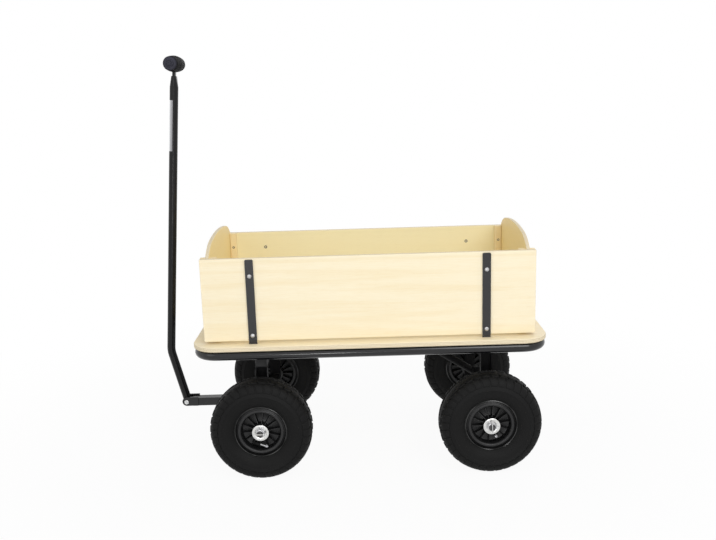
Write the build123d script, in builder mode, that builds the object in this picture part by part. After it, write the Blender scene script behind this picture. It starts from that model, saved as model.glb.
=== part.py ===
from build123d import *
from math import cos, radians, sin, tan
import os

# Wooden pull wagon: a plywood deck on a tubular steel frame, a plywood box held by flat steel
# stakes, a steered front axle on a turntable, a fixed rear axle, four pneumatic wheels and a
# cranked pull handle with a T-grip.
# Millimetres. +X is forward, towards the handle, +Y is left, +Z is up and the floor is z = 0.
# The origin is under the middle of the wagon's overall box.

# Wheels and axles
wheel_d = 260.0
tyre_width = 85.0
wheelbase = 582.0
track = 438.0
axle_d = 16.0
rim_barrel_d = 100.0
rim_flange_d = 125.0
rim_width = 62.0
hub_length = 70.0
hub_d = 40.0

# Deck and its frame
deck_length = 900.0
deck_width = 460.0
deck_t = 12.0
deck_top = 348.0
deck_corner_r = 65.0
deck_lead = 9.0
rail_d = 25.0
rail_inset = 2.0
member_h = 20.0
middle_member_w = 30.0
middle_member_lead = 236.0

# Box
side_length = 834.0
side_height = 212.0
side_t = 12.0
side_lift = 7.0
end_t = 9.0
end_rise = 41.0
end_inset = 13.0
batten_w = 18.0
stake_w = 20.5
stake_t = 4.0
stake_spacing = 588.0

# Steering, tongue and handle
steer_plate_d = 132.0
kingpin_d = 16.0
tongue_side = 22.6
tongue_reach = 232.5
tongue_drop = 6.0
pivot_lift = 2.5
handle_d = 22.0
foot_run = 151.0
foot_lean = 13.6
tube_run = 773.5
tube_lean = 5.0
bend_r = 70.0
grip_length = 122.0
grip_d = 42.0
grip_end_d = 31.0

# Fits
running_fit = 0.08
slide_fit = 0.3
seat_fit = 0.05
overrun = 2.0

# Places that follow from the sizes above
axle_z = wheel_d / 2
deck_bottom = deck_top - deck_t
rail_z = deck_bottom - rail_d / 2
rail_bottom = deck_bottom - rail_d
member_bottom = rail_z - member_h / 2
tongue_z = axle_z - tongue_drop
pivot_z = tongue_z + pivot_lift

# The handle's bend is the foremost place, the deck's rear edge the rearmost one
lean_vectors = [
    (sin(radians(foot_lean)), cos(radians(foot_lean))),
    (-sin(radians(tube_lean)), cos(radians(tube_lean))),
]
turn = foot_lean + tube_lean
bend_reach = wheelbase / 2 + tongue_reach + foot_run * lean_vectors[0][0]
bisector_x = (lean_vectors[1][0] - lean_vectors[0][0]) / (2 * sin(radians(turn / 2)))
bend_centre_reach = bend_reach + bisector_x * bend_r / cos(radians(turn / 2))
front_reach = bend_centre_reach + bend_r + handle_d / 2
rear_reach = deck_length / 2 - deck_lead
mid_x = (rear_reach - front_reach) / 2

kingpin_x = mid_x + wheelbase / 2
rear_x = mid_x - wheelbase / 2
box_x = mid_x + deck_lead
pivot_x = kingpin_x + tongue_reach
rail_centre_y = deck_width / 2 - rail_inset - rail_d / 2
rail_inner_y = rail_centre_y - rail_d / 2
side_face_y = rail_inner_y - slide_fit - stake_t
side_inner_y = side_face_y - side_t
side_bottom = deck_top + side_lift
side_top = side_bottom + side_height

os.makedirs("parts", exist_ok=True)
nodes = []


def keep(builder, name):
    part = builder.part
    part.label = name
    export_step(part, f"parts/{name}.step")
    nodes.append((name, part))


# A sketch plane that faces left, or right where side is -1, y from the middle
def side_plane(x, y, z, side=1):
    return Plane(origin=(x, side * y, z), x_dir=(-side, 0, 0), z_dir=(0, side, 0))


# Frame rail with its stake pockets

pocket_wall = 3.0
pocket_floor = 3.0
pocket_length = stake_w + 2 * (slide_fit + pocket_wall)
pocket_inner_y = side_face_y - slide_fit
rail_corner_r = deck_corner_r - rail_inset - rail_d / 2
rail_length = deck_length - 2 * rail_inset - rail_d
stake_xs = [box_x + stake_spacing / 2, box_x - stake_spacing / 2]

with BuildSketch(Plane.XY.offset(rail_z)) as rail_outline:
    with Locations((box_x, 0)):
        RectangleRounded(rail_length, 2 * rail_centre_y, rail_corner_r)
route = rail_outline.sketch.faces()[0].outer_wire()

with BuildPart() as frame_rail:
    with BuildSketch(Plane(origin=route @ 0, z_dir=route % 0)):
        Circle(rail_d / 2)
    sweep(path=route)
    for side in (1, -1):
        pocket_y = side * (pocket_inner_y - pocket_wall + rail_centre_y) / 2
        pocket_depth = rail_centre_y - pocket_inner_y + pocket_wall
        for x in stake_xs:
            with BuildSketch(Plane.XY.offset(rail_bottom)):
                with Locations((x, pocket_y)):
                    Rectangle(pocket_length, pocket_depth)
            extrude(amount=rail_d)
            with BuildSketch(Plane.XY.offset(rail_bottom + pocket_floor)):
                with Locations((x, side * (pocket_inner_y + rail_inner_y) / 2)):
                    Rectangle(stake_w + 2 * slide_fit, rail_inner_y - pocket_inner_y)
            extrude(amount=rail_d, mode=Mode.SUBTRACT)
keep(frame_rail, "frame_rail")

# Cross members: the outer two end on the pockets, the middle one is coped to the rail
pocket_face_y = pocket_inner_y - pocket_wall
# columns: name, x, width along X, half length
member_table = [
    ("crossmember_front", kingpin_x, 50.0, pocket_face_y),
    ("crossmember_middle", rear_x + middle_member_lead, middle_member_w, rail_centre_y),
    ("crossmember_rear", rear_x, 40.0, pocket_face_y),
]
for member_name, member_x, member_w, member_half in member_table:
    with BuildPart() as member:
        with BuildSketch(Plane.XY.offset(member_bottom)):
            with Locations((member_x, 0)):
                Rectangle(member_w, 2 * member_half)
        extrude(amount=member_h)
        add(frame_rail.part, mode=Mode.SUBTRACT)
    keep(member, member_name)

# Deck with the slots that the stakes pass through

deck_edge_r = 2.5
slot_play = 0.7

with BuildPart() as deck:
    with BuildSketch(Plane.XY.offset(deck_bottom)):
        with Locations((box_x, 0)):
            RectangleRounded(deck_length, deck_width, deck_corner_r)
    extrude(amount=deck_t)
    rims = deck.faces().sort_by(Axis.Z)[-1].edges() + deck.faces().sort_by(Axis.Z)[0].edges()
    fillet(rims, deck_edge_r)
    with BuildSketch(Plane.XY.offset(deck_bottom - overrun)):
        for side in (1, -1):
            with Locations(*[(x, side * (side_face_y + stake_t / 2)) for x in stake_xs]):
                Rectangle(stake_w + 2 * slot_play, stake_t + 2 * slot_play)
    extrude(amount=deck_t + 2 * overrun, mode=Mode.SUBTRACT)
keep(deck, "deck")

# Box: side boards, end boards, corner battens and stakes

board_edge_r = 1.5
end_face_x = side_length / 2 - end_inset
end_inner_x = end_face_x - end_t
end_half_w = side_inner_y - slide_fit
shoulder_share = 0.62
shoulder_rise_share = 0.80
stake_top_drop = 3.0
stake_corner_r = 3.0
batten_gap = slide_fit

for side, side_name in ((1, "left"), (-1, "right")):
    with BuildPart() as side_board:
        with BuildSketch(side_plane(box_x, side_inner_y, side_bottom, side)):
            with Locations((0, side_height / 2)):
                Rectangle(side_length, side_height)
        extrude(amount=side_t)
        fillet(side_board.edges(), board_edge_r)
    keep(side_board, f"side_board_{side_name}")

    for x, end_name in zip(stake_xs, ("front", "rear")):
        stake_bottom = rail_bottom + pocket_floor
        stake_top = side_top - stake_top_drop
        with BuildPart() as stake:
            with BuildSketch(side_plane(x, side_face_y, stake_bottom, side)):
                with Locations((0, (stake_top - stake_bottom) / 2)):
                    Rectangle(stake_w, stake_top - stake_bottom)
            extrude(amount=stake_t)
            top_corners = stake.edges().filter_by(Axis.Y).group_by(Axis.Z)[-1]
            fillet(top_corners, stake_corner_r)
        keep(stake, f"stake_{end_name}_{side_name}")

    for end, end_name in ((1, "front"), (-1, "rear")):
        with BuildPart() as battens:
            for inner_x, width in ((end_face_x, end_inset), (end_inner_x - 2 * batten_gap - batten_w, batten_w)):
                batten_x = box_x + end * (inner_x + width / 2)
                with BuildSketch(Plane.XY.offset(side_bottom)):
                    with Locations((batten_x, side * (side_inner_y - batten_w / 2))):
                        Rectangle(width, batten_w)
                extrude(amount=side_height)
            fillet(battens.edges().filter_by(Axis.Z), board_edge_r)
        keep(battens, f"corner_battens_{end_name}_{side_name}")

for end, end_name in ((1, "front"), (-1, "rear")):
    end_place = (box_x + end * (end_inner_x - batten_gap), 0, side_bottom)
    end_plane = Plane(origin=end_place, x_dir=(0, end, 0), z_dir=(end, 0, 0))
    with BuildPart() as end_board:
        with BuildSketch(end_plane):
            with BuildLine():
                foot_corners = ((-end_half_w, 0), (end_half_w, 0))
                Polyline((-end_half_w, side_height), *foot_corners, (end_half_w, side_height))
                shoulder = (end_half_w * shoulder_share, side_height + end_rise * shoulder_rise_share)
                crown = ThreePointArc((-shoulder[0], shoulder[1]), (0, side_height + end_rise), shoulder)
                TangentArc(crown @ 1, (end_half_w, side_height), tangent=crown % 1)
                TangentArc(crown @ 0, (-end_half_w, side_height), tangent=-(crown % 0))
            make_face()
        extrude(amount=end_t)
        fillet(end_board.faces().filter_by(Axis.X).edges(), board_edge_r)
    keep(end_board, f"end_board_{end_name}")

# Turntable, kingpin and the axle carriers

plate_t = 5.0
beam_side = 30.0
beam_half_length = 165.0
kingpin_washer_d = 34.0
kingpin_washer_t = 3.0
kingpin_nut_af = 24.0
kingpin_nut_t = 13.0
kingpin_tail = 6.0
upper_bottom = member_bottom - plate_t
lower_top = upper_bottom - slide_fit
beam_top = lower_top - plate_t
beam_bottom = beam_top - beam_side
nut_radius = kingpin_nut_af / 2 / cos(radians(30))

with BuildPart() as turntable_upper:
    with BuildSketch(Plane.XY.offset(upper_bottom)):
        with Locations((kingpin_x, 0)):
            Circle(steer_plate_d / 2)
            Circle(kingpin_d / 2 + seat_fit, mode=Mode.SUBTRACT)
    extrude(amount=plate_t)
keep(turntable_upper, "turntable_upper")

with BuildPart() as turntable_lower:
    with BuildSketch(Plane.XY.offset(beam_top)):
        with Locations((kingpin_x, 0)):
            Circle(steer_plate_d / 2)
            Circle(kingpin_d / 2 + running_fit, mode=Mode.SUBTRACT)
    extrude(amount=plate_t)
keep(turntable_lower, "turntable_lower")

# columns: radius, top, bottom of the kingpin's turned lengths
kingpin_table = [
    (kingpin_d / 2, member_bottom, beam_bottom - slide_fit - kingpin_washer_t - kingpin_nut_t - kingpin_tail),
    (kingpin_washer_d / 2, beam_bottom - slide_fit, beam_bottom - slide_fit - kingpin_washer_t),
]
with BuildPart() as kingpin:
    for radius, top, bottom in kingpin_table:
        with BuildSketch(Plane.XY.offset(bottom)):
            with Locations((kingpin_x, 0)):
                Circle(radius)
        extrude(amount=top - bottom)
    with BuildSketch(Plane.XY.offset(kingpin_table[1][2] - kingpin_nut_t)):
        with Locations((kingpin_x, 0)):
            RegularPolygon(nut_radius, 6)
    extrude(amount=kingpin_nut_t)
keep(kingpin, "kingpin")

with BuildPart() as front_beam:
    with BuildSketch(Plane.XY.offset(beam_bottom)):
        with Locations((kingpin_x, 0)):
            Rectangle(beam_side, 2 * beam_half_length)
            Circle(kingpin_d / 2 + running_fit, mode=Mode.SUBTRACT)
    extrude(amount=beam_side)
keep(front_beam, "front_beam")

leg_w = 30.0
leg_depth = 15.0
leg_t = 3.0
leg_inner_y = beam_half_length - leg_depth

for x, top, axle_name in ((kingpin_x, beam_bottom, "front"), (rear_x, member_bottom, "rear")):
    for side, side_name in ((1, "left"), (-1, "right")):
        boss_plane = side_plane(x, leg_inner_y, axle_z, side)
        with BuildPart() as leg:
            with BuildSketch(Plane.XY.offset(axle_z)):
                with Locations((x, side * (leg_inner_y + leg_depth / 2))):
                    Rectangle(leg_w, leg_depth)
                with Locations((x, side * (leg_inner_y + leg_depth / 2 + leg_t))):
                    Rectangle(leg_w - 2 * leg_t, leg_depth, mode=Mode.SUBTRACT)
            extrude(amount=top - axle_z)
            with BuildSketch(boss_plane):
                Circle(leg_w / 2)
            extrude(amount=leg_depth)
            with BuildSketch(boss_plane.offset(-overrun)):
                Circle(axle_d / 2 + seat_fit)
            extrude(amount=leg_depth + 2 * overrun, mode=Mode.SUBTRACT)
        keep(leg, f"{axle_name}_leg_{side_name}")

# Axles with their collars, washers and nuts

collar_d = 26.0
washer_d = 42.0
washer_t = 2.0
nut_af = 20.0
nut_t = 8.0
axle_tail = 3.0
hub_outer_y = track / 2 + hub_length / 2
hub_inner_y = track / 2 - hub_length / 2
washer_y = hub_outer_y + slide_fit
nut_y = washer_y + washer_t
axle_half_length = nut_y + nut_t + axle_tail

for x, axle_name in ((kingpin_x, "front"), (rear_x, "rear")):
    axle_plane = side_plane(x, 0, axle_z)
    with BuildPart() as axle:
        with BuildSketch(axle_plane):
            Circle(axle_d / 2)
        extrude(amount=axle_half_length, both=True)
        for side in (1, -1):
            with BuildSketch(axle_plane.offset(side * beam_half_length)):
                Circle(collar_d / 2)
            extrude(amount=side * (hub_inner_y - slide_fit - beam_half_length))
    keep(axle, f"{axle_name}_axle")

    with BuildPart() as axle_nuts:
        for side in (1, -1):
            with BuildSketch(axle_plane.offset(side * washer_y)):
                Circle(washer_d / 2)
                Circle(axle_d / 2 + seat_fit, mode=Mode.SUBTRACT)
            extrude(amount=side * washer_t)
            with BuildSketch(axle_plane.offset(side * nut_y)):
                RegularPolygon(nut_af / 2 / cos(radians(30)), 6)
                Circle(axle_d / 2 + seat_fit, mode=Mode.SUBTRACT)
            extrude(amount=side * nut_t)
    keep(axle_nuts, f"{axle_name}_axle_nuts")

# Axle housings between the legs, and the rear one's post with the stay up to the middle cross member

housing_side = 26.0
stay_d = 20.0
stay_lean = 33.0
post_t = 12.0
post_foot_x = rear_x + housing_side / 2
stay_half_height = stay_d / 2 / cos(radians(stay_lean))
stay_head_x = rear_x + middle_member_lead - middle_member_w / 2
stay_head_z = deck_bottom - slide_fit - stay_half_height
stay_foot_z = stay_head_z - (stay_head_x - post_foot_x) * tan(radians(stay_lean))

for x, axle_name in ((kingpin_x, "front"), (rear_x, "rear")):
    with BuildPart() as axle_housing:
        with BuildSketch(side_plane(x, 0, axle_z)):
            Rectangle(housing_side, housing_side)
            Circle(axle_d / 2 + slide_fit, mode=Mode.SUBTRACT)
        extrude(amount=leg_inner_y, both=True)
    keep(axle_housing, f"{axle_name}_axle_housing")

with BuildPart() as stay_post:
    with BuildSketch(Plane.XY.offset(axle_z + housing_side / 2)):
        with Locations((rear_x, 0)):
            Rectangle(housing_side, post_t)
    extrude(amount=stay_foot_z + stay_half_height - axle_z - housing_side / 2)
keep(stay_post, "rear_stay_post")

foot = Vector(post_foot_x, 0, stay_foot_z)
head = Vector(stay_head_x, 0, stay_head_z)
stay_axis = head - foot
with BuildPart() as rear_stay:
    with BuildSketch(Plane(origin=foot - stay_axis.normalized() * stay_d, z_dir=stay_axis)):
        Circle(stay_d / 2)
    extrude(amount=stay_axis.length + 2 * stay_d)
    split(bisect_by=Plane(origin=foot, z_dir=(1, 0, 0)), keep=Keep.TOP)
    split(bisect_by=Plane(origin=head, z_dir=(1, 0, 0)), keep=Keep.BOTTOM)
keep(rear_stay, "rear_stay")

# Tongue: square tube, braces, clevis plates and bolt

tube_wall = 2.0
clevis_t = 4.0
clevis_r = 12.5
clevis_length = 32.0
bolt_d = 8.0
bolt_head_af = 13.0
bolt_head_t = 5.5
bolt_tail = 2.5
eye_r = 12.0
eye_gap = 5.0
eye_half_length = handle_d / 2
tongue_end_x = pivot_x - eye_r - eye_gap
tongue_start_x = kingpin_x + housing_side / 2

with BuildPart() as tongue:
    with BuildSketch(Plane(origin=(tongue_start_x, 0, tongue_z), x_dir=(0, 1, 0), z_dir=(1, 0, 0))):
        Rectangle(tongue_side, tongue_side)
        Rectangle(tongue_side - 2 * tube_wall, tongue_side - 2 * tube_wall, mode=Mode.SUBTRACT)
    extrude(amount=tongue_end_x - tongue_start_x)
keep(tongue, "tongue")

brace_t = 6.0
brace_h = 16.0
brace_reach = 95.0
brace_start_x = kingpin_x + leg_w / 2
brace_end_x = brace_start_x + brace_reach

for side, side_name in ((1, "left"), (-1, "right")):
    brace_points = [
        (brace_start_x, side * leg_inner_y),
        (brace_end_x, side * tongue_side / 2),
        (brace_end_x + 2 * brace_t, side * tongue_side / 2),
        (brace_start_x, side * (leg_inner_y + 2 * brace_t)),
    ]
    with BuildPart() as brace:
        with BuildSketch(Plane.XY.offset(axle_z - brace_h / 2)):
            with BuildLine():
                Polyline(*brace_points, close=True)
            make_face()
        extrude(amount=brace_h)
    keep(brace, f"tongue_brace_{side_name}")

with BuildPart() as clevis:
    for side in (1, -1):
        with BuildSketch(side_plane(pivot_x, tongue_side / 2, pivot_z, side)):
            Circle(clevis_r)
            with Locations((side * clevis_length / 2, 0)):
                Rectangle(clevis_length, 2 * clevis_r)
            Circle(bolt_d / 2 + seat_fit, mode=Mode.SUBTRACT)
        extrude(amount=clevis_t)
keep(clevis, "tongue_clevis")

clevis_face_y = tongue_side / 2 + clevis_t
bolt_plane = side_plane(pivot_x, 0, pivot_z)

with BuildPart() as clevis_bolt:
    with BuildSketch(bolt_plane):
        Circle(bolt_d / 2)
    extrude(amount=clevis_face_y + bolt_head_t + bolt_tail, both=True)
    for side in (1, -1):
        with BuildSketch(bolt_plane.offset(side * clevis_face_y)):
            RegularPolygon(bolt_head_af / 2 / cos(radians(30)), 6)
        extrude(amount=side * bolt_head_t)
keep(clevis_bolt, "clevis_bolt")

# Pull handle: a cranked tube pinched at the top, whose tang carries a T-grip

blade_t = 7.5
blade_w = 20.0
pinch_t = 12.5
pinch_w = 24.0
pinch_length = 28.0
neck_length = 30.5
blade_past = 8.0
round_share = 0.99

bend_point = (pivot_x + foot_run * lean_vectors[0][0], pivot_z + foot_run * lean_vectors[0][1])


def along_tube(distance):
    return (bend_point[0] + distance * lean_vectors[1][0], 0, bend_point[1] + distance * lean_vectors[1][1])


tube_axis = (lean_vectors[1][0], 0, lean_vectors[1][1])
neck_start = tube_run - neck_length
pinch_start = neck_start - pinch_length
grip_centre = along_tube(tube_run)
bend_place = (bend_point[0], 0, bend_point[1])
pinch_plane = Plane(origin=along_tube(pinch_start), x_dir=(0, 1, 0), z_dir=tube_axis)
neck_plane = Plane(origin=along_tube(neck_start), x_dir=(0, 1, 0), z_dir=tube_axis)

with BuildPart() as handle_tube:
    with BuildLine() as handle_route:
        FilletPolyline((pivot_x, 0, pivot_z), bend_place, along_tube(pinch_start), radius=bend_r)
    with BuildSketch(Plane(origin=handle_route.line @ 0, z_dir=handle_route.line % 0)):
        Circle(handle_d / 2)
    sweep(path=handle_route.line)
    with BuildSketch(pinch_plane):
        RectangleRounded(handle_d, handle_d, handle_d / 2 * round_share)
    with BuildSketch(neck_plane):
        RectangleRounded(pinch_w, pinch_t, pinch_t / 2 * round_share)
    loft()
    with BuildSketch(neck_plane):
        RectangleRounded(blade_w, blade_t, blade_t / 2 * round_share)
    extrude(amount=neck_length + blade_past)
    with BuildSketch(bolt_plane):
        Circle(eye_r)
    extrude(amount=eye_half_length, both=True)
    with BuildSketch(bolt_plane):
        Circle(bolt_d / 2 + running_fit)
    extrude(amount=handle_d, both=True, mode=Mode.SUBTRACT)
keep(handle_tube, "handle_tube")

with BuildPart() as handle_grip:
    with BuildSketch(Plane(origin=grip_centre, x_dir=(0, 1, 0), z_dir=(tube_axis[2], 0, -tube_axis[0]))):
        with BuildLine():
            end_x = grip_length / 2
            flank = ThreePointArc((-end_x, grip_end_d / 2), (0, grip_d / 2), (end_x, grip_end_d / 2))
            Polyline(flank @ 1, (end_x, 0), (-end_x, 0), flank @ 0)
        make_face()
    revolve(axis=Axis(grip_centre, (0, 1, 0)))
    fillet(handle_grip.edges().filter_by(GeomType.CIRCLE), grip_end_d / 5)
    add(handle_tube.part, mode=Mode.SUBTRACT)
keep(handle_grip, "handle_grip")

# Wheel: a plastic rim with ribbed dishes on both faces, and a tyre

barrel_t = 4.0
flange_t = 5.0
web_t = 4.0
rib_count = 14
rib_t = 2.6
rib_set_back = 5.0
sidewall_share = 0.45
shoulder_drop = 10.0
shoulder_inset = 6.0
crown_half = 24.0
crown_drop = 3.0

rim_half = rim_width / 2
barrel_r = rim_barrel_d / 2
flange_r = rim_flange_d / 2
tyre_half = tyre_width / 2
tyre_r = wheel_d / 2
bead_half = rim_half - flange_t
sidewall_r = flange_r + (tyre_r - flange_r) * sidewall_share

with BuildPart() as rim:
    with BuildSketch(Plane.XZ):
        with BuildLine():
            Polyline(
                (barrel_r - barrel_t, -rim_half),
                (flange_r, -rim_half),
                (flange_r, -bead_half),
                (barrel_r, -bead_half),
                (barrel_r, bead_half),
                (flange_r, bead_half),
                (flange_r, rim_half),
                (barrel_r - barrel_t, rim_half),
                close=True,
            )
        make_face()
        with Locations(((axle_d / 2 + running_fit + hub_d / 2) / 2, 0)):
            Rectangle(hub_d / 2 - axle_d / 2 - running_fit, hub_length)
        with Locations((barrel_r / 2 + hub_d / 4 - barrel_t / 2, 0)):
            Rectangle(barrel_r - hub_d / 2, web_t)
    revolve(axis=Axis.Z)
    rings = rim.edges().filter_by(GeomType.CIRCLE)
    flange_edges = rings.filter_by(lambda ring: abs(ring.radius - flange_r) < seat_fit)
    fillet(flange_edges, flange_t / 3)
    rib_outline = [
        (hub_d / 2 - rib_t / 2, hub_length / 2 - rib_set_back),
        (hub_d / 2 - rib_t / 2, -hub_length / 2 + rib_set_back),
        (barrel_r - barrel_t / 2, -rim_half + rib_set_back),
        (barrel_r - barrel_t / 2, rim_half - rib_set_back),
    ]
    for index in range(rib_count):
        with BuildSketch(Plane.XZ.rotated((0, 0, 360 * index / rib_count))):
            with BuildLine():
                Polyline(*rib_outline, close=True)
            make_face()
        extrude(amount=rib_t / 2, both=True)

with BuildPart() as tyre:
    with BuildSketch(Plane.XZ):
        for half in (1, -1):
            with BuildLine():
                wall = ThreePointArc(
                    (flange_r, half * bead_half),
                    (sidewall_r, half * tyre_half),
                    (tyre_r - shoulder_drop, half * (tyre_half - shoulder_inset)),
                )
                crown = ThreePointArc(
                    (tyre_r - crown_drop, half * crown_half),
                    (tyre_r - crown_drop / 4, half * crown_half / 2),
                    (tyre_r, 0),
                )
                Line(wall @ 1, crown @ 0)
                Polyline(crown @ 1, (barrel_r, 0), (barrel_r, half * bead_half), wall @ 0)
            make_face()
    revolve(axis=Axis.Z)

# columns: name, x, side
wheel_table = [
    ("front_left", kingpin_x, 1),
    ("front_right", kingpin_x, -1),
    ("rear_left", rear_x, 1),
    ("rear_right", rear_x, -1),
]
for wheel_name, wheel_x, side in wheel_table:
    wheel_place = Location((wheel_x, side * track / 2, axle_z), (-90 * side, 0, 0))
    for piece, piece_name in ((rim, "rim"), (tyre, "tyre")):
        with BuildPart() as placed:
            with Locations(wheel_place):
                add(piece.part)
        keep(placed, f"{piece_name}_{wheel_name}")

overall = Compound(children=[part for name, part in nodes]).bounding_box()
print("overall", overall.min, overall.max, "nodes", len(nodes))
places = {
    "mid_x": mid_x,
    "member_x": rear_x + middle_member_lead,
    "kingpin_x": kingpin_x,
    "rear_x": rear_x,
    "box_x": box_x,
    "pivot_x": pivot_x,
    "pivot_z": pivot_z,
    "axle_z": axle_z,
    "beam_top": beam_top,
    "deck_top": deck_top,
    "side_bottom": side_bottom,
    "side_top": side_top,
    "side_inner_y": side_inner_y,
    "end_inner_x": end_inner_x,
    "rail_bottom": rail_bottom,
    "rail_z": rail_z,
    "rail_centre_y": rail_centre_y,
    "rail_d": rail_d,
    "rail_end_x": deck_length / 2 - rail_inset - rail_d / 2,
    "handle_d": handle_d,
    "grip": grip_centre,
}
for name, value in places.items():
    print(name, value)
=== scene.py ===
import math

import bmesh
import bpy
from mathutils import Matrix, Vector


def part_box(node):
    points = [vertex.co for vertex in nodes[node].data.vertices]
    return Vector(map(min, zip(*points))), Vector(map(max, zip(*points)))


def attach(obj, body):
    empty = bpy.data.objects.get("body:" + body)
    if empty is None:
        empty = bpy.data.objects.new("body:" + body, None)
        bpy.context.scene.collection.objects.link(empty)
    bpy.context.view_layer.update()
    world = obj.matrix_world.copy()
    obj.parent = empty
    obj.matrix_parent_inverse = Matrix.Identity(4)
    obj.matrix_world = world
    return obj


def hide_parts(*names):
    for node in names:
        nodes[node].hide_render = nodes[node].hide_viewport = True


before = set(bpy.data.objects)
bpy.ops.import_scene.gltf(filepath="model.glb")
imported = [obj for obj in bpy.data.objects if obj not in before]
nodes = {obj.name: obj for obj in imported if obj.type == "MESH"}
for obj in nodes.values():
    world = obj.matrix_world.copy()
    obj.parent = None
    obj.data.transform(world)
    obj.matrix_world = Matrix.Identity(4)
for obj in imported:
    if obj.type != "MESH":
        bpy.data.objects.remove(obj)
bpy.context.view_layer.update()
print("frame loaded:", len(nodes), "nodes")


# Places that the pieces share, read from the frame
def middle(node):
    low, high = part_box(node)
    return (low + high) / 2


wheelNames = ["front_left", "front_right", "rear_left", "rear_right"]
wheelMiddle = {name: middle("rim_" + name) for name in wheelNames}
steerX = middle("kingpin").x
deckLow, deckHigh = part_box("deck")
boardLow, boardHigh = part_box("side_board_left")
boxX = (boardLow.x + boardHigh.x) / 2
pivot = middle("clevis_bolt")


# Shader maths: a wrapped socket adds its Math nodes as it is written into a sum
def tone(red, green, blue):
    # a colour as it is seen, 0 to 255, turned into the linear values that sockets take
    linear = []
    for level in (red / 255, green / 255, blue / 255):
        linear.append(level / 12.92 if level <= 0.04045 else ((level + 0.055) / 1.055) ** 2.4)
    return (*linear, 1.0)


class Wire:
    def __init__(self, graph, socket):
        self.graph = graph
        self.socket = socket

    def __add__(self, other):
        return self.graph.calc("ADD", self, other)

    def __radd__(self, other):
        return self.graph.calc("ADD", other, self)

    def __sub__(self, other):
        return self.graph.calc("SUBTRACT", self, other)

    def __rsub__(self, other):
        return self.graph.calc("SUBTRACT", other, self)

    def __mul__(self, other):
        return self.graph.calc("MULTIPLY", self, other)

    def __rmul__(self, other):
        return self.graph.calc("MULTIPLY", other, self)

    def __abs__(self):
        return self.graph.calc("ABSOLUTE", self)

    def ramp(self, low, high):
        # 0 below low, 1 above high, soft between
        values = {"Value": self, "From Min": low, "From Max": high}
        return self.graph.node("ShaderNodeMapRange", {"interpolation_type": "SMOOTHSTEP"}, values)


class Graph:
    def __init__(self, tree):
        self.tree = tree

    def node(self, kind, settings=None, values=None, output=0):
        made = self.tree.nodes.new(kind)
        for name, value in (settings or {}).items():
            setattr(made, name, value)
        for name, value in (values or {}).items():
            self.feed(made.inputs[name], value)
        return Wire(self, made.outputs[output])

    def feed(self, socket, value):
        if isinstance(value, Wire):
            self.tree.links.new(value.socket, socket)
        else:
            socket.default_value = value

    def calc(self, operation, first, second=0.0):
        return self.node("ShaderNodeMath", {"operation": operation}, {0: first, 1: second})

    def looked(self):
        # 1 for what the camera sees, by itself or in metal
        rays = [
            self.node("ShaderNodeLightPath", output=f"Is {ray} Ray")
            for ray in ("Camera", "Glossy", "Transmission")
        ]
        return self.calc("MINIMUM", rays[0] + rays[1] + rays[2], 1.0)


class Finish(Graph):
    def __init__(self, name, fixed=None):
        self.material = bpy.data.materials.new(name)
        self.material.use_nodes = True
        super().__init__(self.material.node_tree)
        self.shader = self.tree.nodes["Principled BSDF"]
        for socket, value in (fixed or {}).items():
            self.shader.inputs[socket].default_value = value

    def set(self, socket, value):
        self.feed(self.shader.inputs[socket], value)

    def place(self):
        return self.node("ShaderNodeTexCoord", output="Object")

    def along(self, axis):
        return self.node("ShaderNodeSeparateXYZ", values={0: self.place()}, output=axis)

    def facing(self, axis):
        normal = self.node("ShaderNodeTexCoord", output="Normal")
        return self.node("ShaderNodeSeparateXYZ", values={0: normal}, output=axis)

    def noise(self, scale, detail, stretch=(1, 1, 1), distortion=0.0):
        vector = self.node("ShaderNodeMapping", values={"Vector": self.place(), "Scale": stretch})
        values = {"Vector": vector, "Scale": scale, "Detail": detail, "Distortion": distortion}
        return self.node("ShaderNodeTexNoise", values=values)

    def marked(self, name):
        # a value that the mesh carries on its points
        return self.node("ShaderNodeAttribute", {"attribute_name": name}, output="Fac")

    def mix(self, amount, first, second):
        return self.node("ShaderNodeMix", {"data_type": "RGBA"}, {0: amount, 6: first, 7: second}, output=2)

    def bump(self, height, distance, strength):
        values = {"Height": height, "Distance": distance, "Strength": strength}
        self.set("Normal", self.node("ShaderNodeBump", values=values))


# Plywood: pale veneer faces with long grain, layered edges, and painted shade on the faces inside the box
plywood = {
    "veneer": (253, 242, 214),
    "grain": (246, 229, 189),
    "pore": (206, 174, 124),
    "edgeLight": (243, 231, 202),
    "edgeDark": (228, 212, 178),
    "glue": (164, 134, 98),
    # painted shade: the deeper, warmer colours of the faces inside the box, for the box's shadow and bounced light
    "sideInnerShade": (255, 246, 202),
    "endInnerShade": (246, 220, 148),
    "plies": 7,
    "roughness": 0.5,
    "relief": 0.00012,
    # how fine each pattern is
    "scale": {"broad": 26, "fibre": 520, "cloud": 3.2, "pore": 1500, "endGrain": 900},
    # how much of each shows
    "share": {
        "broad": 0.4, "fibre": 0.26, "cloud": 0.34, "pore": 0.14, "innerShade": 0.75, "endGrain": 0.35, "glue": 0.28,
    },
    "grainSquash": 0.045,  # scale along the grain, for long streaks
    "poreSquash": 0.03,
    "edgeSquash": 0.2,
    "innerShadeDepth": 0.0008,  # how far into a board its inner face's colour reaches
}


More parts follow.
